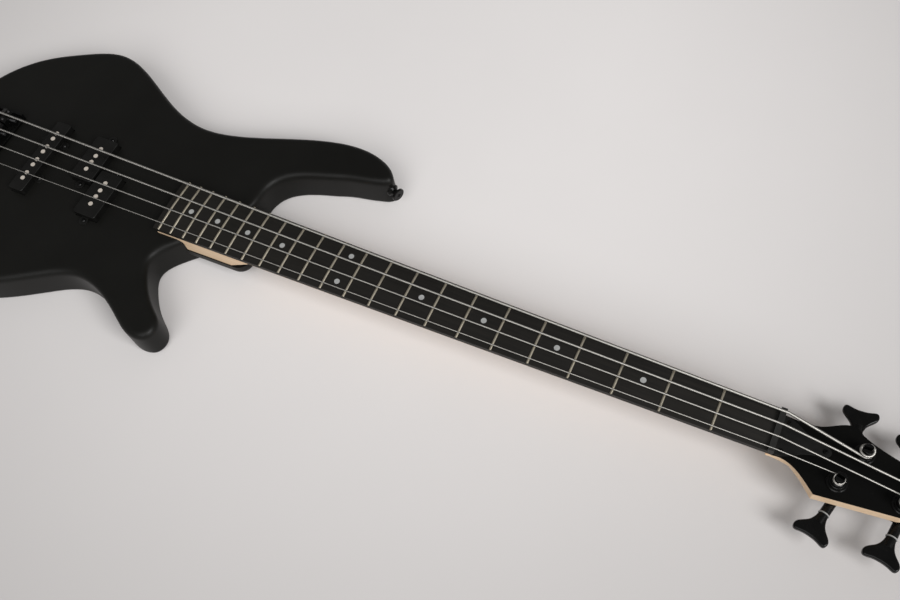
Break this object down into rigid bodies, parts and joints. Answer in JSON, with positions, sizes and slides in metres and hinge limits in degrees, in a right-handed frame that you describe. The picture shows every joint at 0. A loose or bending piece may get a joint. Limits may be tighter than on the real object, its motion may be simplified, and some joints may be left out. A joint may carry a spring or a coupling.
{
  "type": "electric bass guitar",
  "caption": "Solid-body electric bass guitar with a bolted long-scale neck, a split and a bar pickup, saddle bridge, geared tuners and control knobs.",
  "frame": {"origin": "on the flat back of the body, on the centre line of the neck, under the nominal saddle line", "axes": "+X along the strings towards the head, +Y towards the side of the thickest string, +Z out of the body's face"},
  "size_m": [1.1171, 0.328, 0.0571],
  "materials": {
    "body_lacquer": "satin black lacquer over wood",
    "maple": "satin natural wood, the head's face lacquered black",
    "dark_board": "bare dark fine-grained wood",
    "fret_wire": "polished nickel silver",
    "inlay": "pale grey inlay",
    "nut_plastic": "dark moulded plastic",
    "steel": "plain steel",
    "black_plastic": "black moulded plastic",
    "cover_plastic": "satin black moulded plastic",
    "coil_block": "potted winding",
    "pole_metal": "ground magnet ends",
    "foam": "dark foam",
    "black_metal": "gloss black plating",
    "string_steel": "wound nickel-plated steel",
    "washer_plastic": "pale bearing washer",
    "pot_metal": "plated sheet"
  },
  "bodies": {
    "instrument": {"body": "body_lacquer", "neck": "maple", "fingerboard": "dark_board", "frets": "fret_wire", "position_dots": "inlay", "side_dots": "inlay", "nut": "nut_plastic", "truss_rod": "steel", "truss_rod_cover": "black_plastic", "small_screws": "black_metal", "neck_ferrules": "black_metal", "neck_screws": "black_metal", "pickup_cover_thick": "cover_plastic", "pickup_cover_thin": "cover_plastic", "pickup_cover_bar": "cover_plastic", "pickup_coils": "coil_block", "pickup_poles": "pole_metal", "pickup_pads": "foam", "pickup_screws": "black_metal", "bridge_plate": "black_metal", "body_screws": "black_metal", "string_e": "string_steel", "string_a": "string_steel", "string_d": "string_steel", "string_g": "string_steel", "tuner_bushings": "black_metal", "tuner_cases": "black_metal", "tuner_washers": "washer_plastic", "pot_cases": "pot_metal", "pot_nuts": "steel", "output_jack": "steel", "control_cover": "black_plastic", "strap_buttons": "black_metal"},
    "key_e": {"tuner_key_e": "black_metal"},
    "post_e": {"tuner_post_e": "black_metal"},
    "saddle_e_slider": {"saddle_e": "black_metal", "height_screws_e": "steel"},
    "intonation_e": {"intonation_screw_e": "steel"},
    "key_a": {"tuner_key_a": "black_metal"},
    "post_a": {"tuner_post_a": "black_metal"},
    "saddle_a_slider": {"saddle_a": "black_metal", "height_screws_a": "steel"},
    "intonation_a": {"intonation_screw_a": "steel"},
    "key_d": {"tuner_key_d": "black_metal"},
    "post_d": {"tuner_post_d": "black_metal"},
    "saddle_d_slider": {"saddle_d": "black_metal", "height_screws_d": "steel"},
    "intonation_d": {"intonation_screw_d": "steel"},
    "key_g": {"tuner_key_g": "black_metal"},
    "post_g": {"tuner_post_g": "black_metal"},
    "saddle_g_slider": {"saddle_g": "black_metal", "height_screws_g": "steel"},
    "intonation_g": {"intonation_screw_g": "steel"},
    "neck_volume": {"neck_volume_knob": "black_metal", "neck_volume_shaft": "steel"},
    "bridge_volume": {"bridge_volume_knob": "black_metal", "bridge_volume_shaft": "steel"},
    "tone": {"tone_knob": "black_metal", "tone_shaft": "steel"},
    "rod_nut": {"truss_rod_nut": "steel"}
  },
  "joints": [
    {"name": "key_e_turn", "type": "hinge", "parent": "instrument", "child": "key_e", "pos_m": [0.93136, 0.01067, 0.0199], "axis": [-0.0523, 0.9986, 0], "continuous": true},
    {"name": "post_e_turn", "type": "hinge", "parent": "instrument", "child": "post_e", "pos_m": [0.9376, 0.011, 0.0385], "axis": [0, 0, 1], "continuous": true},
    {"name": "saddle_e_slide", "type": "slide", "parent": "instrument", "child": "saddle_e_slider", "axis": [1, 0, 0], "range_m": [-0.003, 0.008]},
    {"name": "intonation_e_turn", "type": "hinge", "parent": "instrument", "child": "intonation_e", "pos_m": [0, 0.0285, 0.0466], "axis": [1, 0, 0], "range_deg": [-5770, 2170]},
    {"name": "key_a_turn", "type": "hinge", "parent": "instrument", "child": "key_a", "pos_m": [0.97735, 0.00049, 0.0199], "axis": [-0.0175, 0.9998, 0], "continuous": true},
    {"name": "post_a_turn", "type": "hinge", "parent": "instrument", "child": "post_a", "pos_m": [0.9836, 0.0006, 0.0385], "axis": [0, 0, 1], "continuous": true},
    {"name": "saddle_a_slide", "type": "slide", "parent": "instrument", "child": "saddle_a_slider", "axis": [1, 0, 0], "range_m": [-0.003, 0.008]},
    {"name": "intonation_a_turn", "type": "hinge", "parent": "instrument", "child": "intonation_a", "pos_m": [0, 0.0095, 0.0466], "axis": [1, 0, 0], "range_deg": [-5770, 2170]},
    {"name": "key_d_turn", "type": "hinge", "parent": "instrument", "child": "key_d", "pos_m": [0.98176, -0.02009, 0.0199], "axis": [-0.1736, -0.9848, 0], "continuous": true},
    {"name": "post_d_turn", "type": "hinge", "parent": "instrument", "child": "post_d", "pos_m": [0.9756, -0.019, 0.0385], "axis": [0, 0, 1], "continuous": true},
    {"name": "saddle_d_slide", "type": "slide", "parent": "instrument", "child": "saddle_d_slider", "axis": [1, 0, 0], "range_m": [-0.003, 0.008]},
    {"name": "intonation_d_turn", "type": "hinge", "parent": "instrument", "child": "intonation_d", "pos_m": [0, -0.0095, 0.0466], "axis": [1, 0, 0], "range_deg": [-5770, 2170]},
    {"name": "key_g_turn", "type": "hinge", "parent": "instrument", "child": "key_g", "pos_m": [0.92944, -0.02282, 0.0199], "axis": [-0.2588, -0.9659, 0], "continuous": true},
    {"name": "post_g_turn", "type": "hinge", "parent": "instrument", "child": "post_g", "pos_m": [0.9234, -0.0212, 0.0385], "axis": [0, 0, 1], "continuous": true},
    {"name": "saddle_g_slide", "type": "slide", "parent": "instrument", "child": "saddle_g_slider", "axis": [1, 0, 0], "range_m": [-0.003, 0.008]},
    {"name": "intonation_g_turn", "type": "hinge", "parent": "instrument", "child": "intonation_g", "pos_m": [0, -0.0285, 0.0466], "axis": [1, 0, 0], "range_deg": [-5770, 2170]},
    {"name": "neck_volume_turn", "type": "hinge", "parent": "instrument", "child": "neck_volume", "pos_m": [0.03436, -0.09168, 0.04], "axis": [0, 0, 1], "range_deg": [-150, 150]},
    {"name": "bridge_volume_turn", "type": "hinge", "parent": "instrument", "child": "bridge_volume", "pos_m": [0.00216, -0.10416, 0.04], "axis": [0, 0, 1], "range_deg": [-150, 150]},
    {"name": "tone_turn", "type": "hinge", "parent": "instrument", "child": "tone", "pos_m": [-0.02636, -0.1104, 0.04], "axis": [0, 0, 1], "range_deg": [-150, 150]},
    {"name": "rod_nut_turn", "type": "hinge", "parent": "instrument", "child": "rod_nut", "pos_m": [0.8812, 0, 0.0352], "axis": [1, 0, 0], "range_deg": [-360, 360]}
  ],
  "couplings": [
    {"joint": "post_e_turn", "follows": "key_e_turn", "ratio": -0.05},
    {"joint": "intonation_e_turn", "follows": "saddle_e_slide", "rad_per_m": -12566},
    {"joint": "post_a_turn", "follows": "key_a_turn", "ratio": -0.05},
    {"joint": "intonation_a_turn", "follows": "saddle_a_slide", "rad_per_m": -12566},
    {"joint": "post_d_turn", "follows": "key_d_turn", "ratio": -0.05},
    {"joint": "intonation_d_turn", "follows": "saddle_d_slide", "rad_per_m": -12566},
    {"joint": "post_g_turn", "follows": "key_g_turn", "ratio": -0.05},
    {"joint": "intonation_g_turn", "follows": "saddle_g_slide", "rad_per_m": -12566}
  ]
}
